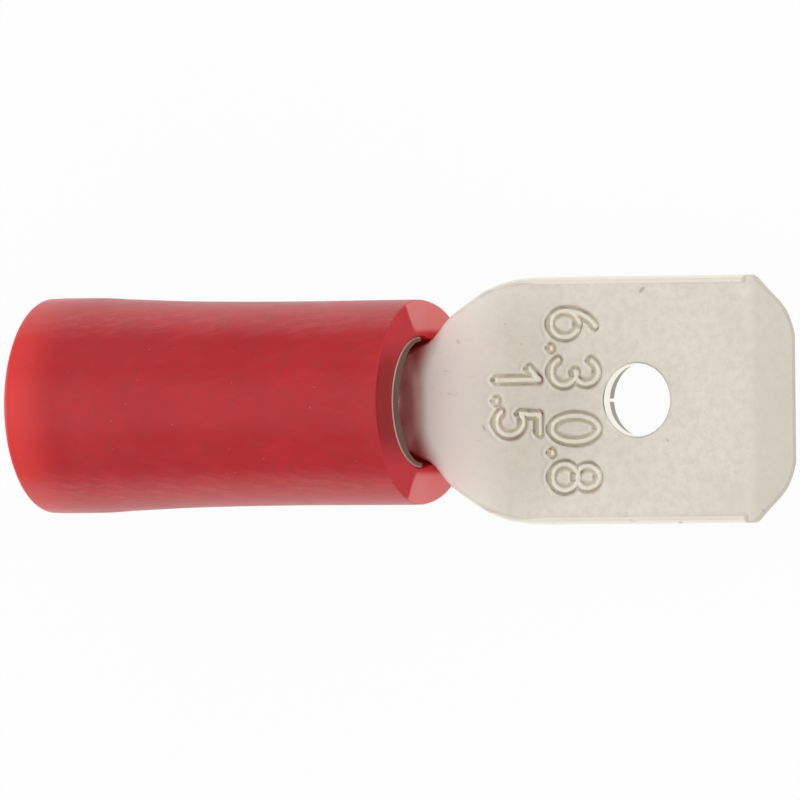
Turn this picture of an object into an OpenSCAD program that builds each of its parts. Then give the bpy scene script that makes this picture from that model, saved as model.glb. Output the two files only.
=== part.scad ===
// Pre-insulated crimp terminal with a flat male tab.
// A soft sleeve is pressed over the rolled barrel of one stamped and folded sheet.
// X runs along the terminal, from the wire end to the tip of the tab. Z is up, off the face of the tab.
// The origin is on the barrel's axis, at the barrel's wire end. Millimetres.
// Inside the modules, X counts from the sleeve's front face, and from_face puts each node in its place.

/* [Sleeve] */
// Length of the sleeve
sleeve_length = 10.6; // [9.5:0.1:12]
// Outer diameter of the sleeve over the barrel
sleeve_diameter = 5.24; // [4.6:0.02:5.8]
// Outer diameter of the bell at the wire end
bell_diameter = 5.52; // [5.3:0.02:6.4]
// Length of the bell's straight part
bell_length = 1.8; // [0.8:0.1:2.6]
// Length over which the bell eases down to the sleeve
bell_ease = 2.8; // [1:0.1:4]
// Rounding of the lip at the wire end
lip_radius = 0.2; // [0.1:0.05:0.4]
// Chamfer of the outer edge of the front face
front_chamfer = 0.06; // [0.02:0.01:0.2]
// Diameter of the bore that takes the wire's insulation
wire_bore_diameter = 3.9; // [3.5:0.05:4.1]
// Depth of the funnel that leads the wire in
funnel_depth = 0.7; // [0.3:0.1:1.2]
// How much wider than the bore the funnel's mouth is, on the radius
funnel_flare = 0.25; // [0.05:0.05:0.3]
// Length of the cone between the wire bore and the barrel bore
seat_length = 0.3; // [0.1:0.05:0.6]
// Clearance between the barrel and the sleeve, on the radius
sleeve_clearance = 0.01; // [0:0.005:0.05]

/* [Barrel] */
// Thickness of the sheet
sheet = 0.38; // [0.25:0.01:0.42]
// Outer diameter of the rolled barrel
barrel_diameter = 3.35; // [3:0.05:3.5]
// Length of the barrel from its wire end to its rim
barrel_length = 6.5; // [5.5:0.1:7]
// How far the rim stands out of the sleeve
rim_stand_out = 0.08; // [0:0.01:0.3]
// Rounding of the rim's outer edge
rim_radius = 0.12; // [0.04:0.01:0.18]
// How much the bore of the rim's half round opens towards the rim, on the radius
rim_flare = 0.05; // [0.02:0.01:0.1]
// Width of the butt seam along the top of the barrel
seam_width = 0.06; // [0.03:0.01:0.15]

/* [Neck] */
// Width of the neck between the relief notches
neck_width = 2.4; // [1.6:0.1:2.6]
// How much wider the neck is where it meets the tab
neck_flare = 0.5; // [0.1:0.05:0.8]
// Length of the bend from the barrel's floor up to the tab
neck_bend = 1.5; // [1.2:0.05:2.2]
// Distance from the barrel's rim to where the bend meets the tab
neck_clearance = 0.04; // [0.02:0.01:0.2]
// Drop of the tab's upper face below the barrel's axis
tab_drop = 0.45; // [0.1:0.05:0.8]

/* [Tab] */
// Width of the tab
tab_width = 6.3; // [5.4:0.1:8]
// Reach of the tab in front of the sleeve
tab_reach = 10.15; // [8:0.05:12]
// Gap left inside the fold
fold_gap = 0.04; // [0.02:0.01:0.08]
// Rounding of the folded side edges
fold_radius = 0.25; // [0.1:0.01:0.35]
// Width of the seam between the two flaps
flap_seam = 0.08; // [0.04:0.01:0.3]
// Where the folded flaps begin, in front of the sleeve
flap_start = 2.8; // [2.2:0.1:4]
// How far the flaps end short of the tip
flap_setback = 0.25; // [0.1:0.05:0.5]
// Where the rounded shoulders begin, in front of the sleeve
shoulder_start = 0.5; // [0.3:0.05:0.8]
// Half width of the tab where the shoulders begin
shoulder_half = 2.18; // [1.8:0.01:2.4]
// Where the shoulders reach the full width
shoulder_end = 3.2; // [2.4:0.1:4]
// Diameter of the detent hole
hole_diameter = 1.85; // [1.2:0.05:2.2]
// Distance of the detent hole from the tip
hole_from_tip = 4.3; // [3:0.05:5]

/* [Tip] */
// Length of the corner chamfers along the tab
corner_length = 0.75; // [0.4:0.05:1]
// Depth of the corner chamfers across the tab
corner_depth = 0.75; // [0.4:0.05:1]
// Half width of the straight end
end_half = 1.6; // [1.2:0.05:1.9]
// Length of the rounding between a chamfer and the end
end_round = 0.4; // [0.2:0.05:0.6]
// Length of the lead-in bevel
bevel_length = 1.25; // [0.6:0.05:1.6]
// Thickness of the tab at its end
end_thickness = 0.4; // [0.3:0.01:0.6]

/* [Hidden] */

// Facets of a full circle
round_facets = 96;
// Steps along the sleeve's eased profile
ease_steps = 14;
// Steps of a rounded corner
corner_steps = 6;
// Steps of the neck along its bend and across its width
bend_steps = 14;
cross_steps = 10;
// Steps of a shoulder's arc
shoulder_steps = 20;
// Cuts run past the faces that they open by this much
over = 1;
// The neck is thinner than the sheet by this much on each face, so that its ends bed in the sheet
bed_skin = 0.004;
// Length that the neck beds into the barrel's wall and into the tab
bed_length = 0.12;

sleeve_radius = sleeve_diameter / 2;
bell_radius = bell_diameter / 2;
wire_bore_radius = wire_bore_diameter / 2;
barrel_radius = barrel_diameter / 2;
barrel_bore_radius = barrel_radius - sheet;
sleeve_bore_radius = barrel_radius + sleeve_clearance;
barrel_back = rim_stand_out - barrel_length;
face_x = -barrel_back;
tab_thickness = 2 * sheet + fold_gap;
tab_half = tab_width / 2;
tab_top = -tab_drop;
neck_front = rim_stand_out + neck_clearance;
neck_back = neck_front - neck_bend;
hole_x = tab_reach - hole_from_tip;
flap_corner = 0.5;

function smooth(t) = t * t * (3 - 2 * t);
function smooth_slope(t) = 6 * t * (1 - t);
function mix(a, b, t) = a + (b - a) * t;
function arc(cx, cy, radius, from, to, steps) =
    [for (i = [0 : steps]) let (a = mix(from, to, i / steps)) [cx + radius * cos(a), cy + radius * sin(a)]];

// Moves a node from the sleeve's front face to its place in the part's frame
module from_face() {
    translate([face_x, 0, 0]) children();
}

// Turns a shape that stands on Z to lie along X
module along_x() {
    rotate([0, 90, 0]) children();
}

// Sleeve: radius first, then the place along the terminal
function bell_profile() = [
    for (i = [0 : ease_steps])
        let (t = i / ease_steps)
        [mix(bell_radius, sleeve_radius, smooth(t)), -sleeve_length + bell_length + t * bell_ease]
];

module sleeve_profile() {
    back = -sleeve_length;
    polygon(concat(
        [[wire_bore_radius + funnel_flare, back]],
        arc(bell_radius - lip_radius, back + lip_radius, lip_radius, -90, 0, corner_steps),
        bell_profile(),
        [
            [sleeve_radius, -front_chamfer],
            [sleeve_radius - front_chamfer, 0],
            [sleeve_bore_radius, 0],
            [sleeve_bore_radius, barrel_back - sleeve_clearance],
            [wire_bore_radius, barrel_back - sleeve_clearance - seat_length],
            [wire_bore_radius, back + funnel_depth]
        ]
    ));
}

module insulation_sleeve() {
    color("crimson")
        from_face()
            along_x()
                rotate_extrude($fn = round_facets)
                    sleeve_profile();
}

// Barrel: a rolled tube with a rounded rim and a butt seam, its lower half cut back beside the neck
module barrel_profile() {
    polygon(concat(
        [[barrel_bore_radius, barrel_back], [barrel_radius, barrel_back]],
        arc(barrel_radius - rim_radius, rim_stand_out - rim_radius, rim_radius, 0, 90, corner_steps),
        [[barrel_bore_radius + rim_flare, rim_stand_out], [barrel_bore_radius, neck_back]]
    ));
}

module barrel() {
    difference() {
        along_x()
            rotate_extrude($fn = round_facets)
                barrel_profile();
        translate([barrel_back - over, -seam_width / 2, 0])
            cube([barrel_length + 2 * over, seam_width, barrel_diameter]);
        translate([neck_back, -barrel_diameter, -barrel_diameter])
            cube([neck_bend + over, 2 * barrel_diameter, barrel_diameter]);
    }
}

// Neck: one bent strip of the sheet, round as the barrel at its back and flat at the tab
// A station is the place on the middle of the sheet, its slope, its roundness and its width
function neck_station(t) =
    let (floor_z = -(barrel_radius - sheet / 2), top_z = tab_top - sheet / 2)
    [
        mix(neck_back, neck_front, t),
        mix(floor_z, top_z, smooth(t)),
        atan2(smooth_slope(t) * (top_z - floor_z), neck_bend),
        1 - smooth(t),
        neck_width + neck_flare * pow(t, 6)
    ];

function neck_stations() = concat(
    [neck_station(0) - [bed_length, 0, 0, 0, 0]],
    [for (i = [0 : bend_steps]) neck_station(i / bend_steps)],
    [neck_station(1) + [bed_length, 0, 0, 0, 0]]
);

// A point across the strip, at a distance along its arc and a height off its middle
function neck_point(station, across, height) =
    let (
        radius = (barrel_radius - sheet / 2) / max(station[3], 0.001),
        turn = across / radius * 180 / PI,
        slope = station[2]
    )
    [
        station[0] - height * sin(slope) * cos(turn),
        (radius - height) * sin(turn),
        station[1] + radius * (1 - cos(turn)) + height * cos(slope) * cos(turn)
    ];

function neck_ring(station) = concat(
    [for (i = [0 : cross_steps])
        neck_point(station, mix(-0.5, 0.5, i / cross_steps) * station[4], sheet / 2 - bed_skin)],
    [for (i = [cross_steps : -1 : 0])
        neck_point(station, mix(-0.5, 0.5, i / cross_steps) * station[4], bed_skin - sheet / 2)]
);

module neck() {
    stations = neck_stations();
    ring_size = 2 * (cross_steps + 1);
    last = len(stations) - 1;
    points = [for (station = stations) each neck_ring(station)];
    sides = [
        for (s = [0 : last - 1], i = [0 : ring_size - 1])
            let (j = (i + 1) % ring_size, a = s * ring_size, b = a + ring_size)
            each [[a + i, b + j, b + i], [a + i, a + j, b + j]]
    ];
    function cap(base) = [
        for (i = [0 : cross_steps - 1])
            let (top = base + i, bottom = base + ring_size - 1 - i)
            each [[top, top + 1, bottom - 1], [top, bottom - 1, bottom]]
    ];
    function flipped(faces) = [for (f = faces) [f[2], f[1], f[0]]];
    polyhedron(points = points, faces = concat(sides, flipped(cap(0)), cap(last * ring_size)), convexity = 6);
}

// Tab: the plan outline of one side, from the neck to the middle of the tip
function shoulder_arc() =
    let (
        run = shoulder_end - shoulder_start,
        rise = tab_half - shoulder_half,
        radius = (run * run + rise * rise) / (2 * rise),
        sweep = asin(run / radius)
    )
    arc(shoulder_end, tab_half - radius, radius, 90 + sweep, 90, shoulder_steps);

function tip_corner() =
    let (
        chamfer_end = [tab_reach - end_round, tab_half - corner_depth],
        corner = [tab_reach, end_half + (chamfer_end[1] - end_half) * 0.55],
        end = [tab_reach, end_half]
    )
    [for (i = [0 : corner_steps])
        let (t = i / corner_steps)
        (1 - t) * (1 - t) * chamfer_end + 2 * t * (1 - t) * corner + t * t * end];

function half_outline() = concat(
    [[neck_front, 0], [neck_front, (neck_width + neck_flare) / 2]],
    shoulder_arc(),
    [[tab_reach - end_round - corner_length, tab_half]],
    tip_corner(),
    [[tab_reach, 0]]
);

module tab_outline() {
    half = half_outline();
    polygon(half);
    mirror([0, 1]) polygon(half);
}

// Section of the folded tab across its width, with the gap of the fold and the seam of the flaps
module fold_section() {
    difference() {
        union() {
            square([tab_width - 2 * fold_radius, tab_thickness], center = true);
            square([tab_width, tab_thickness - 2 * fold_radius], center = true);
            for (side = [-1, 1], face = [-1, 1])
                translate([side * (tab_half - fold_radius), face * (tab_thickness / 2 - fold_radius)])
                    circle(r = fold_radius, $fn = round_facets);
        }
        square([tab_width - 2 * sheet, fold_gap], center = true);
        translate([-flap_seam / 2, -tab_thickness])
            square([flap_seam, tab_thickness]);
    }
}

// Side view of the folded tab, tapered at the tip
module side_section() {
    half = tab_thickness / 2;
    polygon([
        [neck_front - over, -half],
        [tab_reach - bevel_length, -half],
        [tab_reach, -end_thickness / 2],
        [tab_reach, end_thickness / 2],
        [tab_reach - bevel_length, half],
        [neck_front - over, half]
    ]);
}

// What the flaps leave open under the upper sheet, at the shoulders and at the tip
module flap_relief() {
    depth = tab_thickness - sheet;
    translate([neck_front - over, -tab_width, -tab_thickness])
        cube([flap_start - neck_front + over, 2 * tab_width, depth]);
    translate([0, 0, -tab_thickness])
        linear_extrude(depth)
            difference() {
                translate([hole_x, -tab_width])
                    square([tab_reach - hole_x + over, 2 * tab_width]);
                translate([-flap_setback, 0])
                    tab_outline();
            }
    for (side = [-1, 1])
        translate([flap_start, side * tab_half, -tab_thickness])
            linear_extrude(depth)
                polygon([[-over, -side * flap_corner * 0.5], [0, -side * flap_corner], [flap_corner, 0], [0, side * over]]);
}

module tab() {
    translate([0, 0, tab_top])
        difference() {
            intersection() {
                translate([0, 0, -tab_thickness])
                    linear_extrude(tab_thickness)
                        tab_outline();
                translate([neck_front - over, 0, -tab_thickness / 2])
                    rotate([90, 0, 90])
                        linear_extrude(tab_reach - neck_front + 2 * over)
                            fold_section();
                translate([0, tab_width, -tab_thickness / 2])
                    rotate([90, 0, 0])
                        linear_extrude(2 * tab_width)
                            side_section();
            }
            flap_relief();
            translate([hole_x, 0, -tab_thickness - over])
                cylinder(d = hole_diameter, h = tab_thickness + 2 * over, $fn = round_facets);
        }
}

module terminal() {
    color("gainsboro")
        from_face()
            union() {
                barrel();
                neck();
                tab();
            }
}

insulation_sleeve();
terminal();
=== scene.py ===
import math

import bmesh
import bpy
from mathutils import Matrix, Vector
from mathutils.kdtree import KDTree


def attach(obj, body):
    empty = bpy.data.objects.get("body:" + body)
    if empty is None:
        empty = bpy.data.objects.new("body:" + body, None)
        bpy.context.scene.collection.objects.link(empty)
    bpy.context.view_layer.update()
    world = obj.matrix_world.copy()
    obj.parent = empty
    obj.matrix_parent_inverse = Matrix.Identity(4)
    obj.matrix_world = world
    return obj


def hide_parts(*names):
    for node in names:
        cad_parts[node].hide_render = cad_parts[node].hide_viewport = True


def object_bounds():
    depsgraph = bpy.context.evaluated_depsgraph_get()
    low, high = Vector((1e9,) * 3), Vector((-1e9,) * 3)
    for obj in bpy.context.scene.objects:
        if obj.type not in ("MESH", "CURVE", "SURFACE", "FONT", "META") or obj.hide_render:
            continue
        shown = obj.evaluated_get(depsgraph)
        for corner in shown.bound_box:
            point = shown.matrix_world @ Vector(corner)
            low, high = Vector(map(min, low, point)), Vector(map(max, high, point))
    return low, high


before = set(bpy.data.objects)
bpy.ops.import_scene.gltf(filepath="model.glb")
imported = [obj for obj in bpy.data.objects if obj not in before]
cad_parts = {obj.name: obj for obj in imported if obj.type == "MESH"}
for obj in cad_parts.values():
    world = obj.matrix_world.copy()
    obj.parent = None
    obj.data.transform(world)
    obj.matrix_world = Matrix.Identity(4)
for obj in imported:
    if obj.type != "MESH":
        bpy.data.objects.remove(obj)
cad_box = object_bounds()

MM = 0.001
# The sleeve's front face lies here in the part's frame. Shapes below count X from that face, in millimetres.
FACE_X = 6.42

# Sleeve
SLEEVE_BACK = -10.6
BORE_RADIUS = 1.95
BARREL_SEAT = 1.685
# Barrel and sheet
SHEET = 0.38
BARREL_RADIUS = 1.675
BARREL_BACK = -6.42
RIM_X = 0.0
# Neck and tab
TAB_TOP = -0.45
TAB_THICK = 0.8
TAB_HALF = 3.15
TIP_X = 10.15
NECK_BACK = -1.38
NECK_FRONT = -0.1
FLAP_START = 2.8
HOLE_X = 5.85
HOLE_RADIUS = 0.925


def smooth_step(t):
    t = min(max(t, 0.0), 1.0)
    return t * t * (3 - 2 * t)


def mix(a, b, t):
    return a + (b - a) * t


def along(table, x):
    """A smooth curve through the rows of a table of places and values, read at x."""
    if x <= table[0][0]:
        return table[0][1]
    for (x0, y0), (x1, y1) in zip(table, table[1:]):
        if x <= x1:
            return mix(y0, y1, (x - x0) / (x1 - x0))
    return table[-1][1]


# ---------------------------------------------------------------- shapes
def settle(bm, name, material, sharp=35.0):
    """Moves a shape from its own millimetres to the part's frame and makes it a piece of the object."""
    bmesh.ops.remove_doubles(bm, verts=bm.verts, dist=1e-5)
    bmesh.ops.recalc_face_normals(bm, faces=bm.faces)
    bm.transform(Matrix.Translation((FACE_X * MM, 0, 0)) @ Matrix.Scale(MM, 4))
    mesh = bpy.data.meshes.new(name)
    bm.to_mesh(mesh)
    bm.free()
    for face in mesh.polygons:
        face.use_smooth = True
    mesh.set_sharp_from_angle(angle=math.radians(sharp))
    piece = bpy.data.objects.new(name, mesh)
    bpy.context.scene.collection.objects.link(piece)
    mesh.materials.append(material)
    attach(piece, "root")
    return piece


def lathe(profile, steps, closed=True):
    """Spins a profile of (place along X, radius) about the X axis."""
    bm = bmesh.new()
    verts = [bm.verts.new((x, 0, r)) for x, r in profile]
    edges = [bm.edges.new(pair) for pair in zip(verts, verts[1:])]
    if closed:
        edges.append(bm.edges.new((verts[-1], verts[0])))
    bmesh.ops.spin(bm, geom=verts + edges, cent=(0, 0, 0), axis=(1, 0, 0), angle=math.tau,
                   steps=steps, use_merge=True)
    bmesh.ops.remove_doubles(bm, verts=bm.verts, dist=1e-5)
    bmesh.ops.recalc_face_normals(bm, faces=bm.faces)
    return bm


def corner(cx, cr, radius, start, end, steps):
    """Points of a rounded edge of a profile, from one angle to another."""
    turns = [math.radians(mix(start, end, i / steps)) for i in range(steps + 1)]
    return [(cx + radius * math.cos(a), cr + radius * math.sin(a)) for a in turns]


def solid_object(bm, name):
    mesh = bpy.data.meshes.new(name)
    bm.to_mesh(mesh)
    bm.free()
    solid = bpy.data.objects.new(name, mesh)
    bpy.context.scene.collection.objects.link(solid)
    return solid


def carve(bm, cutter, operation):
    """Joins a shape with another one, or cuts it with it."""
    body, tool = solid_object(bm, "body"), solid_object(cutter, "tool")
    step = body.modifiers.new("carve", "BOOLEAN")
    step.operation = operation
    step.solver = "MANIFOLD"
    step.object = tool
    carved = bpy.data.meshes.new_from_object(body.evaluated_get(bpy.context.evaluated_depsgraph_get()))
    result = bmesh.new()
    result.from_mesh(carved)
    for thing in (body, tool):
        mesh = thing.data
        bpy.data.objects.remove(thing)
        bpy.data.meshes.remove(mesh)
    bpy.data.meshes.remove(carved)
    return result


def block(low, high):
    bm = bmesh.new()
    bmesh.ops.create_cube(bm, size=1.0)
    low, high = Vector(low), Vector(high)
    size = high - low
    bm.transform(Matrix.Translation((low + high) / 2) @ Matrix.Diagonal((*size, 1)))
    return bm


# ---------------------------------------------------------------- materials
class Value:
    """A node socket that takes part in Python arithmetic."""

    def __init__(self, shop, socket):
        self.shop, self.socket = shop, socket

    def _math(self, operation, a, b):
        return self.shop.node("ShaderNodeMath", {"operation": operation}, {0: a, 1: b})

    def __add__(self, other):
        return self._math("ADD", self, other)

    __radd__ = __add__

    def __sub__(self, other):
        return self._math("SUBTRACT", self, other)

    def __rsub__(self, other):
        return self._math("SUBTRACT", other, self)

    def __mul__(self, other):
        return self._math("MULTIPLY", self, other)

    __rmul__ = __mul__

    def __truediv__(self, other):
        return self._math("DIVIDE", self, other)

    def __pow__(self, other):
        return self._math("POWER", self, other)


class Finish:
    """A material and the nodes that make it."""

    def __init__(self, name):
        self.material = bpy.data.materials.new(name)
        self.material.use_nodes = True
        self.tree = self.material.node_tree
        self.shader = self.tree.nodes["Principled BSDF"]

    def node(self, kind, settings=None, inputs=None, output=0):
        made = self.tree.nodes.new(kind)
        for key, value in (settings or {}).items():
            if key == "stops":
                ramp = made.color_ramp
                while len(ramp.elements) < len(value):
                    ramp.elements.new(0.5)
                for element, (place, colour) in zip(ramp.elements, value):
                    element.position = place
                    element.color = (*colour, 1) if isinstance(colour, tuple) else (colour,) * 3 + (1,)
            else:
                setattr(made, key, value)
        for key, value in (inputs or {}).items():
            socket = made.inputs[key]
            if isinstance(value, Value):
                self.tree.links.new(value.socket, socket)
            else:
                socket.default_value = value
        return Value(self, made.outputs[output])

    def place(self):
        return self.node("ShaderNodeTexCoord", output="Object")

    def axes(self, vector):
        split = self.node("ShaderNodeSeparateXYZ", inputs={0: vector})
        outputs = split.socket.node.outputs
        return [Value(self, outputs[i]) for i in range(3)]

    def stretched(self, vector, scale, turn=(0, 0, 0)):
        return self.node("ShaderNodeMapping", inputs={"Vector": vector, "Scale": scale, "Rotation": turn})

    def noise(self, vector, scale, detail=3.0, roughness=0.55):
        return self.node("ShaderNodeTexNoise", inputs={
            "Vector": vector, "Scale": scale, "Detail": detail, "Roughness": roughness})

    def band(self, value, low, high):
        """0 below low, 1 above high, and smooth between them."""
        return self.node("ShaderNodeMapRange", {"interpolation_type": "SMOOTHSTEP"}, {
            "Value": value, "From Min": low, "From Max": high, "To Min": 0.0, "To Max": 1.0})

    def blend(self, factor, a, b):
        made = self.tree.nodes.new("ShaderNodeMix")
        made.data_type = "RGBA"
        for key, value in ((0, factor), (6, a), (7, b)):
            if isinstance(value, Value):
                self.tree.links.new(value.socket, made.inputs[key])
            else:
                made.inputs[key].default_value = value if key == 0 else (*value, 1)
        return Value(self, made.outputs[2])

    def bump(self, height, strength, distance):
        return self.node("ShaderNodeBump", inputs={
            "Height": height, "Strength": strength, "Distance": distance})

    def wear(self, **sockets):
        """Sets the shader's own sockets, by value or by link."""
        for key, value in sockets.items():
            socket = self.shader.inputs[key.replace("_", " ")]
            if isinstance(value, Value):
                self.tree.links.new(value.socket, socket)
            else:
                socket.default_value = value
        return self.material


def red_vinyl():
    finish = Finish("red_vinyl")
    place = finish.place()
    x, y, z = finish.axes(place)
    soft = finish.noise(place, 500.0, 3.0)
    colour = finish.blend(finish.band(soft, 0.3, 0.7), (0.47, 0.0075, 0.013), (0.54, 0.011, 0.018))
    blotches = finish.band(finish.noise(place, 2400.0, 3.0, 0.65), 0.36, 0.66)
    colour = finish.blend(0.5 * blotches, colour, (0.42, 0.014, 0.020))
    # Painted glow: the thin wire end is painted lighter for the light that passes through it
    thin_end_glow = 1 - finish.band(x, (FACE_X + SLEEVE_BACK + 0.1) * MM, (FACE_X + SLEEVE_BACK + 1.6) * MM)
    colour = finish.blend(0.68 * thin_end_glow, colour, (0.92, 0.055, 0.052))
    # Fine slanting rub marks on both flanks, which also carry a painted sheen, and a few light nicks
    flank_sheen = finish.band(y * y, (1.5 * MM) ** 2, (2.3 * MM) ** 2)
    aside = (y * y) ** 0.5
    mirrored = finish.node("ShaderNodeCombineXYZ", inputs={0: x, 1: aside, 2: z})
    slanted = finish.stretched(mirrored, (1, 1, 1), (0, 0, math.radians(-17)))
    rubs = finish.noise(finish.stretched(slanted, (0.5, 2.6, 2.6)), 1900.0, 3.0, 0.6)
    marks = finish.band(rubs, 0.46, 0.66) * (0.10 + 0.90 * flank_sheen)
    # Painted sheen: the flanks, and the rub marks on them, are painted lighter towards the sides
    colour = finish.blend(0.36 * flank_sheen, colour, (0.60, 0.075, 0.075))
    colour = finish.blend(0.36 * marks, colour, (0.64, 0.12, 0.12))
    nicks = finish.band(finish.noise(place, 6500.0, 1.0), 0.755, 0.80)
    colour = finish.blend(0.35 * nicks, colour, (0.75, 0.20, 0.19))
    # The cut front face is duller, and painted shade darkens its middle by the mouth; both sides of the mouth are
    # painted pale as a painted reflection of the white floor
    face = finish.band(x, (FACE_X - 0.05) * MM, (FACE_X - 0.01) * MM)
    # Painted shade: darker in the middle of the face, lighter outwards
    face_shade = finish.blend(finish.band(aside, 0.7 * MM, 1.8 * MM), (0.40, 0.003, 0.007), (0.72, 0.025, 0.042))
    colour = finish.blend(face, colour, face_shade)
    rise = finish.band(z, 0.25 * MM, 1.35 * MM)
    # Painted reflection: the white floor seen in the face beside the mouth
    floor_reflection_ears = face * finish.band(aside - 1.2 * MM * rise, 1.73 * MM, 1.90 * MM)
    colour = finish.blend(floor_reflection_ears, colour, (0.95, 0.205, 0.20))
    grain = finish.noise(place, 9000.0, 2.0)
    return finish.wear(
        Base_Color=colour,
        Roughness=0.34 + 0.10 * marks + 0.30 * face * (1 - floor_reflection_ears),
        Normal=finish.bump(grain + marks * 0.8, 0.3, 0.00001),
        Specular_IOR_Level=0.42,
    )


def tinned_brass():
    finish = Finish("tinned_brass")
    place = finish.place()
    x, y, z = finish.axes(place)
    cloud = finish.noise(place, 500.0, 4.0, 0.6)
    mottle = finish.band(cloud, 0.35, 0.65)
    tin_colour = finish.blend(mottle, (0.75, 0.70, 0.61), (0.81, 0.755, 0.66))
    stain = finish.band(finish.noise(place, 170.0, 2.0), 0.42, 0.66)
    tin_colour = finish.blend(0.4 * stain, tin_colour, (0.64, 0.595, 0.49))
    spangle = finish.band(finish.noise(place, 4200.0, 4.0, 0.7), 0.38, 0.66)
    tin_colour = finish.blend(0.42 * spangle, tin_colour, (0.63, 0.59, 0.49))
    # Painted light: the tin is painted brighter by the sleeve, against the shade that falls there, and a painted
    # highlight runs along the rounded edges and the shoulders
    near = 1 - finish.band(x, (FACE_X + 0.2) * MM, (FACE_X + 2.6) * MM)
    tin_colour = finish.blend(near, tin_colour, (1.0, 0.965, 0.885))
    # Painted shade: darker where the lead-in bevel at the tip starts
    tip = finish.band(x, (FACE_X + 8.9) * MM, (FACE_X + 9.3) * MM)
    tin_colour = finish.blend(0.6 * tip, tin_colour, (0.60, 0.56, 0.49))
    # Painted highlight along the rounded side edges and the shoulders
    rounded = (1 - finish.band(z, (TAB_TOP - 0.03) * MM, (TAB_TOP - 0.004) * MM)) * (
        1 - finish.band(x, (FACE_X + 8.7) * MM, (FACE_X + 8.9) * MM))
    aside = (y * y) ** 0.5
    border = finish.band(aside, 2.80 * MM, 2.90 * MM) + near * (1 - finish.band(x, (FACE_X + 1.4) * MM, (FACE_X + 1.5) * MM))
    shoulder = finish.band(x, (FACE_X + 0.1) * MM, (FACE_X + 0.5) * MM) * finish.band(z, (TAB_TOP - 0.25) * MM, (TAB_TOP - 0.2) * MM)
    tin_colour = finish.blend(finish.band(rounded * border * shoulder, 0.0, 0.6), tin_colour, (1.0, 0.95, 0.82))
    # Small dark specks and scuffs
    specks = finish.band(finish.noise(place, 2300.0, 1.0), 0.745, 0.79)
    tin_colour = finish.blend(0.45 * specks, tin_colour, (0.30, 0.27, 0.20))
    scuffs = finish.noise(finish.stretched(place, (1.0, 2.6, 1.0), (0, 0, 0.5)), 1500.0, 4.0, 0.7)
    tin_colour = finish.blend(0.30 * finish.band(scuffs, 0.62, 0.74), tin_colour, (0.55, 0.49, 0.38))
    # Painted reflection and shade: the neck inside the mouth is painted dark red for the sleeve's red and the shade
    # there
    bowed = x - 0.5 * MM * finish.band(aside, 0.5 * MM, 2.0 * MM)
    mouth = finish.band(x, (FACE_X - 2.2) * MM, (FACE_X - 1.2) * MM) * (
        1 - finish.band(bowed, (FACE_X - 0.64) * MM, (FACE_X + 0.04) * MM))
    above_floor = finish.band(z, -1.40 * MM, -1.20 * MM)
    tin_colour = finish.blend(mouth * above_floor, tin_colour, (0.50, 0.085, 0.09))
    # The barrel's rounded rim gets a painted reflection of the red sleeve, and its cut end is bare
    upper = finish.band(z, -0.20 * MM, -0.10 * MM)
    rim_red_reflection = finish.band(x, (FACE_X + RIM_X - 0.09) * MM, (FACE_X + RIM_X - 0.05) * MM) * upper
    tin_colour = finish.blend(0.6 * rim_red_reflection, tin_colour, (0.72, 0.36, 0.29))
    cut = finish.band(x, (FACE_X + RIM_X - 0.020) * MM, (FACE_X + RIM_X - 0.004) * MM) * upper
    tin_colour = finish.blend(cut, tin_colour, (0.16, 0.075, 0.052))
    # The punch burnishes the wall of the hole in the upper layer, and a painted highlight makes it bright
    off = x - (FACE_X + HOLE_X) * MM
    away = (off * off + y * y) ** 0.5
    wall = (1 - finish.band(away, (HOLE_RADIUS + 0.01) * MM, (HOLE_RADIUS + 0.03) * MM)) * finish.band(
        z, (TAB_TOP - SHEET - 0.02) * MM, (TAB_TOP - SHEET) * MM)
    tin_colour = finish.blend(wall, tin_colour, (0.97, 0.94, 0.86))
    # Painted shade: the wall of the hole in the lower layer is painted dark
    flap_wall_shade = (1 - finish.band(away, (HOLE_RADIUS + 0.09) * MM, (HOLE_RADIUS + 0.11) * MM)) * (
        1 - finish.band(z, (TAB_TOP - SHEET - 0.05) * MM, (TAB_TOP - SHEET - 0.03) * MM))
    tin_colour = finish.blend(0.7 * flap_wall_shade, tin_colour, (0.33, 0.30, 0.25))
    # The stamped strokes are burnished too
    stroke = (1 - finish.band(z, (TAB_TOP - 0.03) * MM, (TAB_TOP - 0.005) * MM)) * finish.band(
        z, (TAB_TOP - 0.20) * MM, (TAB_TOP - 0.17) * MM) * finish.band(x, (FACE_X + 1.5) * MM, (FACE_X + 1.6) * MM) * (
        1 - finish.band(x, (FACE_X + 4.9) * MM, (FACE_X + 5.0) * MM)) * (1 - finish.band(y * y, (2.6 * MM) ** 2, (2.7 * MM) ** 2))
    grain = finish.noise(place, 12000.0, 3.0)
    return finish.wear(
        Base_Color=tin_colour,
        Metallic=0.55 - 0.40 * near + 0.40 * wall + 0.45 * stroke,
        Roughness=0.38 + 0.10 * mottle - 0.22 * wall - 0.12 * stroke,
        Normal=finish.bump(grain, 0.15, 0.000006),
    )


vinyl = red_vinyl()
tin = tinned_brass()


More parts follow.
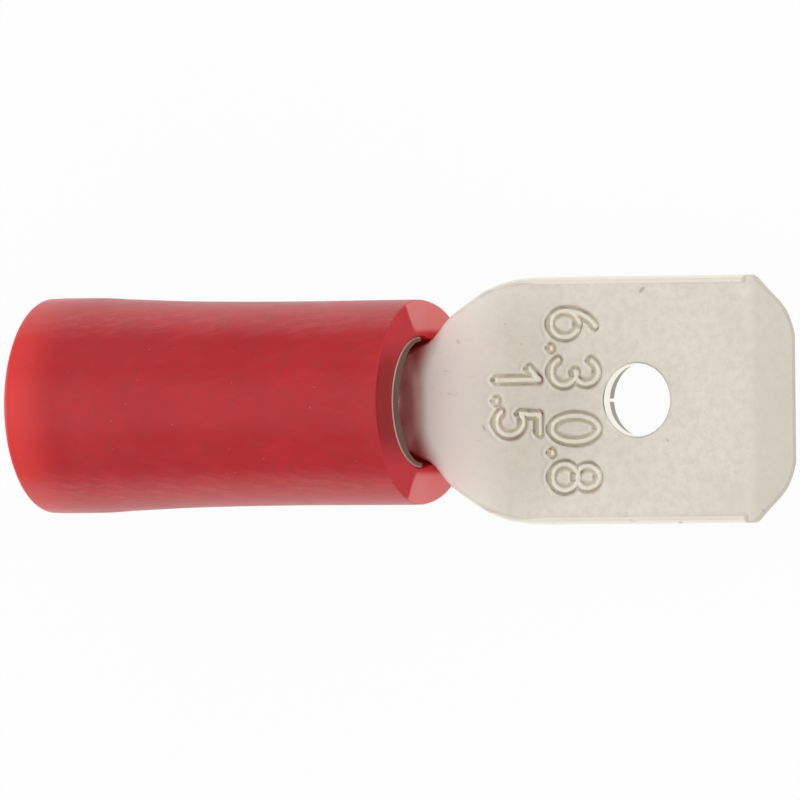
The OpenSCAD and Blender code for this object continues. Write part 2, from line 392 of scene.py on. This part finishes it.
# ---------------------------------------------------------------- sleeve
def make_sleeve():
    outside = [
        (-10.32, 2.748), (-10.1, 2.753), (-9.6, 2.7545), (-9.2, 2.7535), (-8.84, 2.747), (-8.56, 2.729),
        (-8.3, 2.712), (-8.0, 2.700), (-7.7, 2.688), (-7.43, 2.676), (-7.1, 2.663), (-6.86, 2.652),
        (-6.5, 2.642), (-6.0, 2.630), (-5.2, 2.618), (-4.4, 2.610), (-3.6, 2.606), (-2.8, 2.606),
        (-2.0, 2.610), (-1.36, 2.614), (-0.6, 2.617), (-0.2, 2.617), (-0.09, 2.612),
    ]
    front = corner(-0.07, 2.55, 0.065, 80, 0, 6)
    seat = [
        (0.0, 2.3), (0.0, 1.95), (0.0, 1.76), (-0.015, 1.705), (-0.05, BARREL_SEAT + 0.003),
        (-1.0, BARREL_SEAT), (-3.0, BARREL_SEAT), (-5.0, BARREL_SEAT), (BARREL_BACK - 0.01, BARREL_SEAT),
        (BARREL_BACK - 0.31, BORE_RADIUS), (-8.0, BORE_RADIUS), (-9.8, BORE_RADIUS),
        (-10.2, BORE_RADIUS + 0.12), (-10.4, BORE_RADIUS + 0.2),
    ]
    lip = corner(SLEEVE_BACK + 0.18, 2.2, 0.18, 200, 180, 3)
    back = [(SLEEVE_BACK, 2.30), (SLEEVE_BACK, 2.5)] + corner(SLEEVE_BACK + 0.16, 2.585, 0.16, 175, 98, 10)
    bm = lathe(outside + front + seat + lip + back, 192)
    # The front leans a little forward below the neck
    for vert in bm.verts:
        vert.co.x += 0.14 * smooth_step(-vert.co.z / 1.5) * smooth_step((vert.co.x + 1.5) / 1.5)
    return settle(bm, "red_sleeve", vinyl)


# ---------------------------------------------------------------- terminal
# Half width of the sheet along the neck, the shoulders and the tip
PLAN = [
    (-1.5, 1.3), (-0.6, 1.34), (-0.3, 1.42), (-0.05, 1.53), (0.12, 1.66), (0.3, 1.87), (0.45, 2.05), (0.6, 2.20),
    (0.825, 2.36), (1.11, 2.56), (1.39, 2.74), (1.67, 2.88), (1.955, 2.99), (2.24, 3.065), (2.52, 3.11),
    (2.8, 3.132), (3.08, 3.143), (3.4, 3.15), (9.02, 3.15), (9.07, 3.13), (9.17, 3.046), (9.455, 2.754),
    (9.735, 2.487), (9.91, 2.27), (9.99, 2.12), (10.05, 1.97), (10.11, 1.79), (10.14, 1.66), (10.15, 1.62),
]


def plan_half(x):
    return along(PLAN, x)


def floor_bend(x):
    """How far the neck has come from the barrel's floor, 0, to the level of the tab, 1."""
    return smooth_step((x - NECK_BACK) / (NECK_FRONT - NECK_BACK))


def bevel_drop(x, y):
    """How far the lead-in bevel lowers the face at the tip."""
    start = 8.95 - 0.32 * (abs(y) / TAB_HALF) ** 2
    run = x - start
    if run <= 0:
        return 0.0
    ease = 0.35
    if run < ease:
        return 0.2 * run * run / (2 * ease) / (1.25 - ease / 2)
    return 0.2 * (run - ease / 2) / (1.25 - ease / 2)


def sheet_section(x, across, depth):
    """A point of the sheet: across the strip from its middle, and down by depth from its upper face."""
    bend = floor_bend(x)
    if bend < 0.999:
        middle = mix(-(BARREL_RADIUS - SHEET / 2), TAB_TOP - SHEET / 2, bend)
        step = 0.01
        rise = (floor_bend(x + step) - floor_bend(x - step)) / (2 * step)
        slope = math.atan(rise * (TAB_TOP + BARREL_RADIUS - SHEET))
        radius = (BARREL_RADIUS - SHEET / 2) / max(1 - bend, 0.001)
        turn = across / radius
        height = SHEET / 2 - depth
        return Vector((
            x - height * math.sin(slope) * math.cos(turn),
            (radius - height) * math.sin(turn),
            middle + radius * (1 - math.cos(turn)) + height * math.cos(slope) * math.cos(turn),
        ))
    return Vector((x, across, TAB_TOP - depth))


TOP_COLUMNS = 236
EDGE_COLUMNS = 14
UNDER_COLUMNS = 14
FLAP_SETBACK = 0.25
SEAM_HALF = 0.04
FOLD_GAP = 0.04

# Strokes of the stamped numbers, on a grid one wide and two high: lines, and arcs with centre, radii and angles
NUMBERS = {
    "6": [("arc", 0.5, 0.6, 0.5, 0.6, 0, 360), ("arc", 0.95, 0.62, 0.95, 1.38, 180, 112)],
    "3": [("arc", 0.48, 1.5, 0.46, 0.5, 155, -90), ("arc", 0.48, 0.54, 0.5, 0.54, 90, -155)],
    "0": [("arc", 0.5, 1.0, 0.5, 1.0, 0, 360)],
    "8": [("arc", 0.5, 1.52, 0.42, 0.48, 0, 360), ("arc", 0.5, 0.54, 0.5, 0.54, 0, 360)],
    "1": [("line", 0.1, 1.55, 0.55, 2.0), ("line", 0.55, 2.0, 0.55, 0.0)],
    "5": [("line", 0.9, 2.0, 0.15, 2.0), ("line", 0.15, 2.0, 0.1, 1.12), ("arc", 0.45, 0.62, 0.53, 0.62, 130, -140)],
    ".": [("line", 0.0, 0.0, 0.02, 0.02)],
}


def stroke_points(stroke):
    kind, *numbers = stroke
    if kind == "line":
        x0, y0, x1, y1 = numbers
        return [(mix(x0, x1, i / 60), mix(y0, y1, i / 60)) for i in range(61)]
    cx, cy, rx, ry, start, end = numbers
    turns = [math.radians(mix(start, end, i / 120)) for i in range(121)]
    return [(cx + rx * math.cos(a), cy + ry * math.sin(a)) for a in turns]


def stamp_line(text, foot, height):
    """Places of the strokes of a line of numbers, which reads towards -Y with its tops towards +X."""
    scale = height / 2
    points, pen = [], 0.0
    for sign in text:
        if sign == " ":
            pen += 0.75
            continue
        for stroke in NUMBERS[sign]:
            points += [(pen + x, y) for x, y in stroke_points(stroke)]
        pen += 0.45 if sign == "." else 1.42
    width = pen - 0.42
    return [Vector((foot + y * scale, (width / 2 - x) * scale, 0)) for x, y in points]


def stamp_tree():
    points = stamp_line("6.3 0.8", 3.42, 1.32) + stamp_line("1.5", 1.86, 1.22)
    tree = KDTree(len(points))
    for i, point in enumerate(points):
        tree.insert(point, i)
    tree.balance()
    return tree


STAMPS = stamp_tree()


def stamp_depth(x, y):
    """How deep the numbers are pressed into the tab here, with the small lip that the stamp raises."""
    away = STAMPS.find((x, y, 0))[2]
    return 0.15 * (1 - smooth_step((away - 0.045) / 0.12)) - 0.006 * math.exp(-((away - 0.21) / 0.04) ** 2)


def ring_points(x):
    """The closed outline of the sheet at one place along the terminal, from the middle of its underside."""
    half = plan_half(x)
    folded = x > FLAP_START
    thick = TAB_THICK if folded else SHEET
    cut = smooth_step((x - 8.93) / 0.06)
    radius = mix(0.12, 0.19, smooth_step((x - 0.1) / 1.5))
    radius = mix(radius, 0.25, smooth_step((x - 2.6) / 0.8))
    radius = min(mix(radius, 0.03, cut), thick / 2)
    flat = half - radius
    if folded:
        under = [(0.0, SHEET + 0.01), (SEAM_HALF - 0.01, SHEET + 0.01), (SEAM_HALF, thick - 0.06),
                 (SEAM_HALF + 0.015, thick - 0.02), (SEAM_HALF + 0.05, thick)]
    else:
        under = [(0.0, thick), (0.02, thick), (0.04, thick), (0.06, thick), (0.09, thick)]
    rest = UNDER_COLUMNS - len(under)
    under += [(mix(under[-1][0], flat, (i + 1) / rest), thick) for i in range(rest)]
    steps = EDGE_COLUMNS // 2
    edge = []
    for i in range(1, steps + 1):
        a = math.radians(90 * i / steps)
        edge.append((flat + radius * math.sin(a), thick - radius + radius * math.cos(a)))
    for i in range(steps):
        a = math.radians(90 * i / steps)
        edge.append((flat + radius * math.cos(a), radius - radius * math.sin(a)))
    right = under + edge
    top = [(mix(flat, -flat, i / TOP_COLUMNS), 0.0) for i in range(TOP_COLUMNS + 1)]
    left = [(-y, depth) for y, depth in reversed(right[1:])]
    return [(y, depth, thick) for y, depth in right + top + left]


def stations():
    spans = [
        (-1.38, 0.12, 30), (0.12, 0.6, 14), (0.6, 1.7, 16), (1.7, 2.79, 40), (2.79, 2.81, 1),
        (2.81, 4.95, 78), (4.95, 6.7, 24), (6.7, 8.5, 12), (8.5, 8.93, 12), (8.93, 9.02, 6),
        (9.02, 9.9, 24), (9.9, 10.09, 8), (10.09, 10.15, 6),
    ]
    places = [-1.5]
    for start, end, count in spans:
        places += [mix(start, end, (i + 1) / count) for i in range(count)]
    return places


def make_sheet():
    """The neck, the shoulders and the folded tab, as one skin round a grid."""
    rows = stations()
    columns = len(ring_points(5.0))
    bm = bmesh.new()
    bmesh.ops.create_grid(bm, x_segments=len(rows) - 1, y_segments=columns - 1, size=1.0)
    order = sorted(bm.verts, key=lambda v: (round(v.co.x, 6), round(v.co.y, 6)))
    for r, x in enumerate(rows):
        for c, (y, depth, thick) in enumerate(ring_points(x)):
            drop = bevel_drop(x, y)
            lowered = depth + mix(drop, -drop, depth / thick)
            if depth == 0 and 1.6 < x < 5.0:
                lowered += stamp_depth(x, y)
            order[r * columns + c].co = sheet_section(x, y, lowered)
    # The first and the last column lie on each other along the middle of the underside
    bmesh.ops.remove_doubles(bm, verts=bm.verts, dist=1e-5)
    ends = [e for e in bm.edges if len(e.link_faces) == 1]
    bmesh.ops.holes_fill(bm, edges=ends, sides=0)
    bmesh.ops.recalc_face_normals(bm, faces=bm.faces)
    return bm


def prism(outline, low, high):
    """A plate with this outline in plan, between two heights."""
    bm = bmesh.new()
    face = bm.faces.new([bm.verts.new((x, y, low)) for x, y in outline])
    raised = bmesh.ops.extrude_face_region(bm, geom=[face])["geom"]
    bmesh.ops.translate(bm, vec=(0, 0, high - low), verts=[v for v in raised if isinstance(v, bmesh.types.BMVert)])
    bmesh.ops.recalc_face_normals(bm, faces=bm.faces)
    return bm


def make_barrel():
    bore = BARREL_RADIUS - SHEET
    barrel = lathe(
        [(BARREL_BACK, bore), (BARREL_BACK, BARREL_RADIUS - 0.03), (BARREL_BACK + 0.03, BARREL_RADIUS),
         (-3.0, BARREL_RADIUS)]
        + corner(RIM_X - 0.07, BARREL_RADIUS - 0.07, 0.07, 90, 0, 8)
        + [(RIM_X, bore + 0.05), (RIM_X - 0.03, bore + 0.02), (RIM_X - 0.2, bore), (-3.0, bore)], 144)
    barrel = carve(barrel, block((-7, -0.006, 0.2), (1, 0.006, 3)), "DIFFERENCE")
    # Towards the mouth the bore widens sideways, which thins the ends of the rim
    flare = bmesh.new()
    bmesh.ops.create_cone(flare, cap_ends=True, segments=128, radius1=bore, radius2=bore, depth=1.8,
                          matrix=Matrix.Translation((-0.5, 0, 0)) @ Matrix.Rotation(math.radians(90), 4, "Y"))
    for vert in flare.verts:
        vert.co.y *= 1.0 if vert.co.x < -0.5 else 1.26
        vert.co.z *= 0.99 if vert.co.x < -0.5 else 1.0
    barrel = carve(barrel, flare, "DIFFERENCE")
    return carve(barrel, block((NECK_BACK, -3, -3), (1, 3, 0)), "DIFFERENCE")


def hole_cutter():
    profile = [(-1.2, 0.0), (-1.2, HOLE_RADIUS + 0.08), (-SHEET - FOLD_GAP, HOLE_RADIUS + 0.08),
               (-SHEET - FOLD_GAP, HOLE_RADIUS + 0.25), (-SHEET, HOLE_RADIUS + 0.25), (-SHEET, HOLE_RADIUS),
               (-0.07, HOLE_RADIUS), (-0.04, HOLE_RADIUS + 0.006), (-0.015, HOLE_RADIUS + 0.025),
               (0.0, HOLE_RADIUS + 0.06), (0.4, HOLE_RADIUS + 0.5), (0.4, 0.0)]
    cutter = lathe(profile, 120, closed=False)
    cutter.transform(Matrix.Translation((HOLE_X, 0, TAB_TOP)) @ Matrix.Rotation(math.radians(-90), 4, "Y"))
    bmesh.ops.recalc_face_normals(cutter, faces=cutter.faces)
    return cutter


def flap_end_cutter():
    """What is missing of the flaps at the tip, where they end short of the upper sheet."""
    edge = [(x - FLAP_SETBACK, y) for x, y in PLAN if x > 8.9]
    outline = [(11, -4), (11, 4), (edge[0][0] - 0.02, 4), (edge[0][0] - 0.02, TAB_HALF + 0.02)] + edge
    outline += [(x, -y) for x, y in reversed(edge)]
    outline += [(edge[0][0] - 0.02, -TAB_HALF - 0.02), (edge[0][0] - 0.02, -4)]
    return prism(outline, TAB_TOP - 1.2, TAB_TOP - SHEET)


def drop_slivers(bm):
    """Removes the loose slivers that a cut leaves behind."""
    seen, slivers = set(), []
    for start in bm.verts:
        if start in seen:
            continue
        shell, queue = {start}, [start]
        while queue:
            for edge in queue.pop().link_edges:
                for vert in edge.verts:
                    if vert not in shell:
                        shell.add(vert)
                        queue.append(vert)
        seen |= shell
        if len(shell) < 50:
            slivers += list(shell)
    bmesh.ops.delete(bm, geom=slivers, context="VERTS")


def make_terminal():
    bm = carve(make_barrel(), make_sheet(), "UNION")
    bm = carve(bm, hole_cutter(), "DIFFERENCE")
    bm = carve(bm, flap_end_cutter(), "DIFFERENCE")
    bmesh.ops.remove_doubles(bm, verts=bm.verts, dist=1e-5)
    drop_slivers(bm)
    return settle(bm, "tinned_terminal", tin)


sleeve = make_sleeve()
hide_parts("insulation_sleeve")
terminal = make_terminal()
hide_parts("terminal")


# ---------------------------------------------------------------- stage, light and camera
def make_stage():
    floor_z = cad_box[0].z
    bm = bmesh.new()
    bmesh.ops.create_grid(bm, x_segments=1, y_segments=1, size=1.5)
    bm.transform(Matrix.Translation((0, 0, floor_z)))
    mesh = bpy.data.meshes.new("floor")
    bm.to_mesh(mesh)
    bm.free()
    floor = bpy.data.objects.new("floor", mesh)
    bpy.context.scene.collection.objects.link(floor)
    finish = Finish("pale_floor")
    path = finish.tree.nodes.new("ShaderNodeLightPath")
    seen = Value(finish, path.outputs["Is Camera Ray"]) + Value(finish, path.outputs["Is Glossy Ray"])
    glow = finish.node("ShaderNodeEmission", inputs={"Color": (1, 1, 1, 1), "Strength": 1.0})
    finish.shader.inputs["Base Color"].default_value = (0.86, 0.86, 0.86, 1)
    finish.shader.inputs["Roughness"].default_value = 0.9
    both = finish.tree.nodes.new("ShaderNodeMixShader")
    share = seen * 0.95
    finish.tree.links.new(share.socket, both.inputs[0])
    finish.tree.links.new(finish.shader.outputs[0], both.inputs[1])
    finish.tree.links.new(glow.socket, both.inputs[2])
    finish.tree.links.new(both.outputs[0], finish.tree.nodes["Material Output"].inputs[0])
    mesh.materials.append(finish.material)


def soft_box(name, place, width, height, power):
    """A flat lamp that faces the object."""
    lamp = bpy.data.lights.new(name, "AREA")
    lamp.shape = "RECTANGLE"
    lamp.size = width
    lamp.size_y = height
    lamp.energy = power
    holder = bpy.data.objects.new(name, lamp)
    place = Vector(place)
    holder.matrix_world = Matrix.Translation(place) @ place.to_track_quat("Z", "Y").to_matrix().to_4x4()
    bpy.context.scene.collection.objects.link(holder)


def make_light():
    world = bpy.data.worlds.new("tent")
    bpy.context.scene.world = world
    world.use_nodes = True
    background = world.node_tree.nodes["Background"]
    background.inputs["Color"].default_value = (1, 1, 1, 1)
    background.inputs["Strength"].default_value = 0.22
    soft_box("overhead", (0.0, 0.0, 0.45), 0.60, 0.60, 1.08)
    soft_box("far_side", (0.12, 0.40, 0.27), 0.80, 0.46, 0.98)
    soft_box("near_side", (0.12, -0.40, 0.27), 0.80, 0.46, 0.90)
    soft_box("wire_side", (-0.40, 0.0, 0.14), 0.30, 0.30, 0.60)


def make_camera():
    tilt = math.radians(26.0)
    roll = math.radians(-0.6)
    distance = 0.8
    target = Vector(((FACE_X - 0.612) * MM, 0.060 * MM, 0))
    back = Vector((math.sin(tilt), 0, math.cos(tilt)))
    right = Vector((math.cos(tilt), 0, -math.sin(tilt)))
    up = Vector((0, 1, 0))
    turn = Matrix((right, up, back)).transposed() @ Matrix.Rotation(roll, 3, "Z")
    camera = bpy.data.cameras.new("camera")
    camera.sensor_width = 36
    camera.lens = 36 * distance / 0.0204
    camera.clip_start = 0.01
    camera.clip_end = 10
    holder = bpy.data.objects.new("camera", camera)
    holder.matrix_world = Matrix.Translation(target + back * distance) @ turn.to_4x4()
    bpy.context.scene.collection.objects.link(holder)
    bpy.context.scene.camera = holder


make_stage()
make_light()
make_camera()
bpy.context.scene.view_settings.view_transform = "Standard"

bpy.context.view_layer.update()
